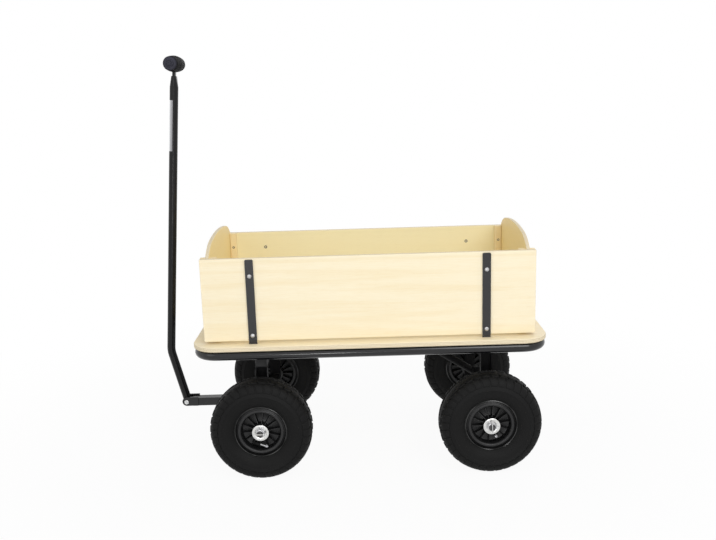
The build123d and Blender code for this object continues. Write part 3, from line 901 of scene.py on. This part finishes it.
for end, body in (("front", "steering"), ("rear", "chassis")):
    spot = middle(end + "_axle")
    piece = settle(axleBar(spot), "turnedAxle_" + end, darkSteel, body, 30)
    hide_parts(end + "_axle")
    nuts, cups, pins = bmesh.new(), bmesh.new(), bmesh.new()
    for side, sideName in ((1, "left"), (-1, "right")):
        seat = sideways((spot.x, side * axle["washerAt"], spot.z), side)
        cupWasher(cups, seat)
        seat = seat @ Matrix.Rotation(math.radians(splitPin["turn"][end + "_" + sideName]), 4, "Z")
        castleNut(nuts, seat)
        addPin(pins, seat)
    piece = settle(nuts, "castleNuts_" + end, satinZinc, body, 32)
    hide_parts(end + "_axle_nuts")
    settle(cups, "cupWashers_" + end, zincPlate, body, 32)
    settle(pins, "splitPins_" + end, zincPlate, body, 50)
print("axles done")

# Clevis bolt with its locking nut, and the kingpin
clevis = {
    "radius": 0.0040,
    "flats": 0.0116,
    "head": 0.0053,
    "tail": 0.0079,
    "nut": 0.0056,
    "nutTurn": 0.3,  # radians
}
clevisLow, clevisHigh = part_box("tongue_clevis")
bolt = bmesh.new()
across = sideways(pivot, 1)
face, end, radius = clevisHigh.y, clevisHigh.y + clevis["tail"], clevis["radius"]
turnedPart(bolt, [(0, -end), (radius - 0.0006, -end), (radius, -end + 0.0006), (radius, face), (0, face)], across, 28)
hexagon(bolt, clevis["flats"], face, face + clevis["head"], across, (False, True))
turnedPart(bolt, [
    (0, face + 0.005), (0.0046, face + 0.005), (0.0046, face + 0.0055), (0.0040, face + 0.0054),
    (0, face + 0.0054),
], across, 24)
nutPlace = across @ Matrix.Rotation(clevis["nutTurn"], 4, "Z")
hexagon(bolt, clevis["flats"], -face - clevis["nut"], -face, nutPlace, (True, False))
turnedPart(bolt, [
    (radius, -face - 0.0050), (0.0057, -face - 0.0050), (0.0057, -face - 0.0066), (0.0050, -face - 0.0073),
    (radius, -face - 0.0073),
], across, 28)
piece = settle(bolt, "hexBolt_clevis", zincPlate, "steering", 32)
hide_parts("clevis_bolt")

kingpin = {
    "radius": 0.0080,
    "chamfer": 0.0010,
    "washer": 0.0170,
    "washerThick": 0.0030,
    "washerEdge": 0.0006,
    "flats": 0.0240,
    "nut": 0.0130,
    "lockRing": 0.0112,
    "tail": 0.0060,
}
pinLow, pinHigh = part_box("kingpin")
down = Matrix.Translation((steerX, 0, pinLow.z))
bolt = bmesh.new()
radius, top, chamfer = kingpin["radius"], pinHigh.z - pinLow.z, kingpin["chamfer"]
turnedPart(bolt, [(0, 0), (radius - chamfer, 0), (radius, chamfer), (radius, top), (0, top)], down, 32)
tail, ring, washer, edge = kingpin["tail"], kingpin["lockRing"], kingpin["washer"], kingpin["washerEdge"]
base = tail + kingpin["nut"]
hexagon(bolt, kingpin["flats"], tail + 0.0030, base, down, (False, False))
turnedPart(bolt, [
    (radius, tail + 0.0032), (ring, tail + 0.0032), (ring, tail + 0.0010), (ring - 0.0010, tail), (radius, tail),
], down, 32)
top = base + kingpin["washerThick"]
turnedPart(bolt, [
    (radius, base), (washer - edge, base), (washer, base + edge), (washer, top - edge), (washer - edge, top),
    (radius, top),
], down, 48)
piece = settle(bolt, "lockedKingpin", zincPlate, "chassis", 32)
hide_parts("kingpin")
print("pins done")

# Bolts through stakes and boards: cup heads outside, small sleeve nuts inside
stakeBolt = {
    "fromTop": 0.0415,
    "fromDeck": 0.0215,
    "head": 0.0056,
    "headHeight": 0.0027,
    "nut": 0.0045,
    "nutHeight": 0.0010,
}
heads, sleeves = bmesh.new(), bmesh.new()


def cupHead(seat):
    radius, height = stakeBolt["head"], stakeBolt["headHeight"]
    turnedPart(heads, [
        (0, 0), (radius, 0), (radius, height * 0.22), (radius * 0.9, height * 0.58), (radius * 0.64, height * 0.88),
        (radius * 0.3, height), (0, height),
    ], seat, 28)


def sleeveNut(seat):
    radius, height = stakeBolt["nut"], stakeBolt["nutHeight"]
    turnedPart(sleeves, [
        (0, -0.0010), (0.0018, -0.0010), (0.0020, height * 0.8), (0.0026, height), (radius - 0.0007, height),
        (radius, height * 0.3), (radius, 0), (radius - 0.001, -0.0012), (0, -0.0012),
    ], seat, 24)


inner = min(abs(boardLow.y), abs(boardHigh.y))
for end in ("front", "rear"):
    for side, sideName in ((1, "left"), (-1, "right")):
        low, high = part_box(f"stake_{end}_{sideName}")
        x, outer = (low.x + high.x) / 2, max(abs(low.y), abs(high.y))
        for level in (high.z - stakeBolt["fromTop"], deckHigh.z + stakeBolt["fromDeck"]):
            cupHead(sideways((x, side * outer, level), side))
            sleeveNut(sideways((x, side * inner, level), -side))
settle(heads, "cupHeads", satinZinc, "chassis", 40)
settle(sleeves, "sleeveNuts", dullSteel, "chassis", 40)

# Countersunk screws in the corner battens and through the deck into the cross members
screw = {
    "radius": 0.0036,
    "deckRadius": 0.0044,
    "proud": 0.0003,
    "recess": 0.0013,
    "levels": (0.030, 0.106, 0.172),  # in a batten, from its foot
    "outerStrip": 0.0065,  # from the batten's outer edge
    "deckRow": (-0.130, 0.0, 0.130),
    "pastKingpin": 0.034,  # the front row's middle screw stands clear of the kingpin
}
screws = bmesh.new()


def countersunk(seat, radius):
    proud = screw["proud"]
    turnedPart(screws, [
        (0, -screw["recess"]), (radius * 0.34, -screw["recess"]), (radius * 0.42, proud), (radius * 0.94, proud),
        (radius, -0.0002), (radius * 0.9, -0.0016), (0, -0.0016),
    ], seat, 20)


for end, sign in (("front", 1), ("rear", -1)):
    for side, sideName in ((1, "left"), (-1, "right")):
        low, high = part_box(f"corner_battens_{end}_{sideName}")
        depth = high.y - low.y
        face = min(abs(low.y), abs(high.y))
        innerEnd, outerEnd = (low.x, high.x) if sign > 0 else (high.x, low.x)
        for x in (innerEnd + sign * depth / 2, outerEnd - sign * screw["outerStrip"]):
            for level in screw["levels"]:
                countersunk(sideways((x, side * face, low.z + level), -side), screw["radius"])
for member in ("crossmember_front", "crossmember_middle", "crossmember_rear"):
    spot = middle(member)
    for y in screw["deckRow"]:
        aside = screw["pastKingpin"] if member == "crossmember_front" and y == 0 else 0.0
        countersunk(Matrix.Translation((spot.x + aside, y, deckHigh.z)), screw["deckRadius"])
settle(screws, "countersunkScrews", dullSteel, "chassis", 40)
print("fastenings done")

# Grip: fluted halves and a plain collar round the tube's tang
grip = {
    "flutes": 24,
    "cells": 4,  # turns of the spin for each flute, the first one is the groove
    "depth": 0.0009,
    "grooveEdge": 0.0003,
    "fluteStart": 0.0170,  # half widths between which the flutes run
    "fluteEnd": 0.0545,
}
gripLow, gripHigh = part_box("handle_grip")
gripHalf = (gripHigh.y - gripLow.y) / 2
# radius and half width, from the end cap's middle to the collar
gripOutline = [
    (0.0, gripHalf - 0.0014), (0.0030, gripHalf - 0.0013), (0.0035, gripHalf - 0.0001), (0.0052, gripHalf),
    (0.0057, gripHalf - 0.0014), (0.0074, gripHalf - 0.0016), (0.0079, gripHalf - 0.0005),
    (0.0096, gripHalf - 0.0008), (0.0101, gripHalf - 0.0022), (0.0124, gripHalf - 0.0022),
    (0.0143, gripHalf - 0.0028), (0.0160, gripHalf - 0.0046), (0.0171, gripHalf - 0.0072),
    (0.0178, 0.0530), (0.0187, 0.0440), (0.0194, 0.0360), (0.0200, 0.0270), (0.0204, 0.0190),
    (0.0205, 0.0162), (0.0200, 0.0154), (0.0200, 0.0148), (0.0206, 0.0140), (0.0209, 0.0080), (0.0210, 0.0),
]
bm = bmesh.new()
lathe(bm, gripOutline + mirrored(gripOutline[:-1]), grip["flutes"] * grip["cells"])
bmesh.ops.recalc_face_normals(bm, faces=bm.faces)
cell = math.tau / (grip["flutes"] * grip["cells"])
grooves = []
for face in bm.faces:
    centre = face.calc_center_median()
    index = int(math.atan2(centre.y, centre.x) % math.tau / cell)
    if grip["fluteStart"] < abs(centre.z) < grip["fluteEnd"] and index % grip["cells"] == 0:
        grooves.append(face)
bmesh.ops.inset_region(
    bm, faces=grooves, thickness=grip["grooveEdge"], depth=-grip["depth"], use_boundary=True, use_even_offset=True,
)
gripMiddle = Vector(((gripLow.x + gripHigh.x) / 2, 0, (gripLow.z + gripHigh.z) / 2))
bmesh.ops.transform(bm, matrix=sideways(gripMiddle, 1), verts=bm.verts)
piece = settle(bm, "flutedGrip", gripPlastic, "handle", 40, False)
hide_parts("handle_grip")

# The bare pale band wraps the front of the tube, which leans back towards the box
bandSize = {
    "low": 0.8215,
    "high": 0.9525,
    "lean": 5,  # degrees, as the wrap
    "wrap": 172,
    "radius": 0.01104,
    "thick": 0.00018,
}
lean = math.radians(bandSize["lean"])
upTube = Vector((-math.sin(lean), 0, math.cos(lean)))
bandLow = gripMiddle + upTube * ((bandSize["low"] - gripMiddle.z) / upTube.z)
tubeTurn = Matrix.Translation(bandLow) @ Matrix.Rotation(-lean, 4, "Y")
length = (bandSize["high"] - bandSize["low"]) / upTube.z
inner, outer = bandSize["radius"], bandSize["radius"] + bandSize["thick"]
section = [(inner, 0), (outer, 0), (outer, length), (inner, length)]
bm = bmesh.new()
arcBlock(bm, section, -bandSize["wrap"] / 2, bandSize["wrap"], 20, tubeTurn)
# how far each point has turned round the tube, for the band's painted shade
aside = bm.verts.layers.float.new("aside")
halfWrap = bandSize["radius"] * math.sin(math.radians(bandSize["wrap"] / 2))
for vert in bm.verts:
    vert[aside] = min(abs(vert.co.y) / halfWrap, 1.0)
settle(bm, "paleBand_handle", paleBand, "handle", 50)
print("handle done")

# End plugs in the front beam and the tongue
plug = {
    "thick": 0.0022,
    "edge": 0.00096,
    "border": 0.0030,  # round the sunk middle
    "sunk": 0.0006,
    "slack": 0.0010,  # how much narrower the tongue's plug is than the tongue
}
beamLow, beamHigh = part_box("front_beam")
tongueLow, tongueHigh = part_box("tongue")
beamMiddle, tongueMiddle = middle("front_beam"), middle("tongue")
plugs = []
for side in (1, -1):
    place = Vector((beamMiddle.x, side * (beamHigh.y + plug["thick"] / 2), beamMiddle.z))
    plugs.append((place, Vector((beamHigh.x - beamLow.x, plug["thick"], beamHigh.z - beamLow.z))))
place = Vector((tongueHigh.x + plug["thick"] / 2, 0, tongueMiddle.z))
width = tongueHigh.y - tongueLow.y - plug["slack"]
plugs.append((place, Vector((plug["thick"], width, tongueHigh.z - tongueLow.z))))
bm = bmesh.new()
for place, size in plugs:
    small = bmesh.new()
    bmesh.ops.create_cube(small, size=1, matrix=Matrix.Diagonal((*size, 1)))
    soften(small, small.edges[:], plug["edge"], 3)
    thin = min(range(3), key=lambda axis: size[axis])
    outerFaces = [f for f in small.faces if abs(f.normal[thin]) > 0.99 and f.calc_area() > size.length ** 2 * 0.2]
    bmesh.ops.inset_region(
        small, faces=outerFaces, thickness=plug["border"], depth=-plug["sunk"], use_even_offset=True,
    )
    stamp(bm, small, Matrix.Translation(place))
settle(bm, "endPlugs", rimNylon, "steering", 40, False)

# Weld beads on the steering and on the frame
bm = bmesh.new()
for side in ("left", "right"):
    weldRound(bm, "front_leg_" + side, 2, True)
for high in (False, True):
    weldRound(bm, "front_axle_housing", 1, high)
weldRound(bm, "tongue", 0, False)
for edge in (beamLow.x, beamHigh.x):
    weld(bm, [(edge, -bead["plateHalf"], beamHigh.z), (edge, bead["plateHalf"], beamHigh.z)])
for side in (1, -1):
    for level in (max(tongueLow.z, clevisLow.z), tongueHigh.z):
        weld(bm, [(clevisLow.x, side * tongueHigh.y, level), (tongueHigh.x, side * tongueHigh.y, level)])
settle(bm, "weldBeads_steering", underPaintShaded, "steering", 60)

bm = bmesh.new()
for side in ("left", "right"):
    weldRound(bm, "rear_leg_" + side, 2, True)
for high in (False, True):
    weldRound(bm, "rear_axle_housing", 1, high)
weldRound(bm, "rear_stay_post", 2, False)
stayLow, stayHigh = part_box("rear_stay")
stayRadius = (stayHigh.y - stayLow.y) / 2
tall = stayRadius / math.cos(math.radians(bead["stayLean"]))
for x, level in ((stayLow.x, stayLow.z + tall), (stayHigh.x, stayHigh.z - tall)):
    weld(bm, [(x, stayRadius * cos, level + tall * sin) for cos, sin in fullTurn(bead["staySteps"])])
settle(bm, "weldBeads_frame", underPaintShaded, "chassis", 60)
print("plugs and welds done")

# Scene: floor, lights, camera
stage = {
    "floor": (236, 236, 236),
    "floorSize": 9,
    "worldLight": 0.57,
    # power, size, place and the height that it aims at
    "lamps": {
        "keyLight": (53.0, 2.2, (-1.45, 3.1, 2.7), 0.4),
        "fillLight": (9.0, 2.0, (2.2, 2.4, 1.7), 0.4),
        "backLight": (12.0, 2.4, (-0.9, -3.1, 2.0), 0.4),
        "frontLight": (7.0, 0.35, (0.2, 3.0, 0.35), 0.3),
    },
}

for name, (power, size, place, height) in stage["lamps"].items():
    data = bpy.data.lights.new(name, "AREA")
    data.shape = "DISK"
    data.size = size
    data.energy = power
    lamp = bpy.data.objects.new(name, data)
    lamp.matrix_world = turned(Vector(place) - Vector((0, 0, height)), place)
    bpy.context.scene.collection.objects.link(lamp)

bm = bmesh.new()
bmesh.ops.create_grid(bm, x_segments=1, y_segments=1, size=stage["floorSize"])
mesh = bpy.data.meshes.new("floor")
bm.to_mesh(mesh)
bm.free()
floor = bpy.data.objects.new("floor", mesh)
bpy.context.scene.collection.objects.link(floor)

ground = Finish("floorWhite")
flat = ground.node("ShaderNodeMapping", values={"Vector": ground.place(), "Scale": (1, 1, 0)})
away = ground.node("ShaderNodeVectorMath", {"operation": "LENGTH"}, {0: flat}, output="Value")
matt = ground.node("ShaderNodeBsdfDiffuse", values={"Color": tone(*stage["floor"])})
white = ground.node("ShaderNodeEmission", values={"Color": (1, 1, 1, 1), "Strength": 1.0})
# near the wagon a little of the lit floor shows, for its shadow
share = ground.looked() * (away.ramp(0.5, 1.6) * 0.06 + 0.94)
surface = ground.node("ShaderNodeMixShader", values={0: share, 1: matt, 2: white})
ground.feed(ground.tree.nodes["Material Output"].inputs["Surface"], surface)
ground.tree.nodes.remove(ground.shader)
mesh.materials.append(ground.material)

world = bpy.data.worlds.new("studio")
bpy.context.scene.world = world
world.use_nodes = True
sky = Graph(world.node_tree)
backdrop = sky.tree.nodes["Background"]
backdrop.inputs["Color"].default_value = (1, 1, 1, 1)
sky.feed(backdrop.inputs["Strength"], sky.looked() * (1 - stage["worldLight"]) + stage["worldLight"])

view = {
    "place": (-0.0331, 2.1912, 0.9692),
    "heading": 180.077,
    "down": 12.435,
    "roll": -1.702,
    "lens": 41.437,
    "sensor": 36.0,
}
cameraData = bpy.data.cameras.new("photoCamera")
cameraData.lens = view["lens"]
cameraData.sensor_width = view["sensor"]
camera = bpy.data.objects.new("photoCamera", cameraData)
turn = (
    Matrix.Rotation(math.radians(view["heading"]), 4, "Z")
    @ Matrix.Rotation(math.radians(90 - view["down"]), 4, "X")
    @ Matrix.Rotation(math.radians(view["roll"]), 4, "Z")
)
camera.matrix_world = Matrix.Translation(view["place"]) @ turn
bpy.context.scene.collection.objects.link(camera)
bpy.context.scene.camera = camera
bpy.context.scene.view_settings.view_transform = "Standard"
